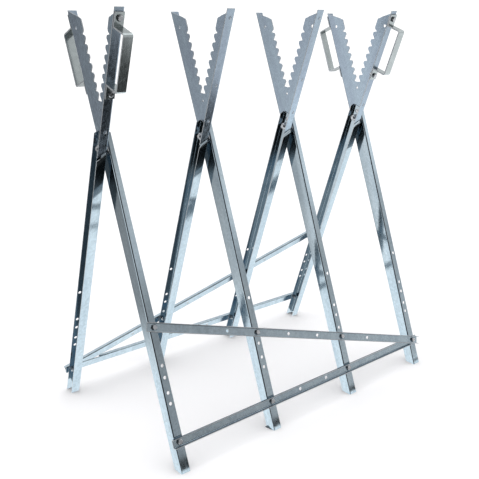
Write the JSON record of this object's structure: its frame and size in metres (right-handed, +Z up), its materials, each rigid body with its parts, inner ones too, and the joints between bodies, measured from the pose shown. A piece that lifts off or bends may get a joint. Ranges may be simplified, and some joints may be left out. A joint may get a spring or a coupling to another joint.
{
  "type": "folding log sawhorse",
  "caption": "Folding galvanised steel log sawhorse: a row of crossed channel legs with toothed V arms, low and diagonal braces and bolted strap handles.",
  "frame": {"origin": "on the floor, below the middle of the row of frames", "axes": "+X along the row of frames, +Y across it towards the back feet, +Z up"},
  "size_m": [0.74, 0.4324, 0.82],
  "materials": {
    "galvanised_channel": "smooth bright hot-dip zinc",
    "galvanised_plate": "grey spangled hot-dip zinc",
    "galvanised_brace": "grey spangled hot-dip zinc",
    "galvanised_strap": "smooth zinc-coated flat steel",
    "plated_fastener": "bright zinc plating"
  },
  "bodies": {
    "back_frame": {"back_leg_1": "galvanised_channel", "back_leg_2": "galvanised_channel", "back_leg_3": "galvanised_channel", "back_leg_4": "galvanised_channel", "back_arm_1": "galvanised_plate", "back_arm_2": "galvanised_plate", "back_arm_3": "galvanised_plate", "back_arm_4": "galvanised_plate", "back_low_brace": "galvanised_brace", "back_diagonal_brace": "galvanised_brace", "back_handle_1": "galvanised_strap", "back_handle_4": "galvanised_strap", "back_arm_rivets": "plated_fastener", "back_brace_bolts": "plated_fastener", "back_brace_nuts": "plated_fastener", "back_handle_bolts": "plated_fastener", "back_handle_nuts": "plated_fastener"},
    "front_frame": {"front_leg_1": "galvanised_channel", "front_leg_2": "galvanised_channel", "front_leg_3": "galvanised_channel", "front_leg_4": "galvanised_channel", "front_arm_1": "galvanised_plate", "front_arm_2": "galvanised_plate", "front_arm_3": "galvanised_plate", "front_arm_4": "galvanised_plate", "front_low_brace": "galvanised_brace", "front_diagonal_brace": "galvanised_brace", "front_handle_1": "galvanised_strap", "front_handle_4": "galvanised_strap", "pivot_bolt_1": "plated_fastener", "pivot_bolt_2": "plated_fastener", "pivot_bolt_3": "plated_fastener", "pivot_bolt_4": "plated_fastener", "pivot_nuts": "plated_fastener", "pivot_spacers": "plated_fastener", "pivot_head_washers": "plated_fastener", "pivot_nut_washers": "plated_fastener", "front_arm_rivets": "plated_fastener", "front_brace_bolts": "plated_fastener", "front_brace_nuts": "plated_fastener", "front_handle_bolts": "plated_fastener", "front_handle_nuts": "plated_fastener"}
  },
  "joints": [
    {"name": "fold", "type": "hinge", "parent": "back_frame", "child": "front_frame", "pos_m": [0, 0, 0.578], "axis": [1, 0, 0], "range_deg": [0, 37.8]}
  ]
}
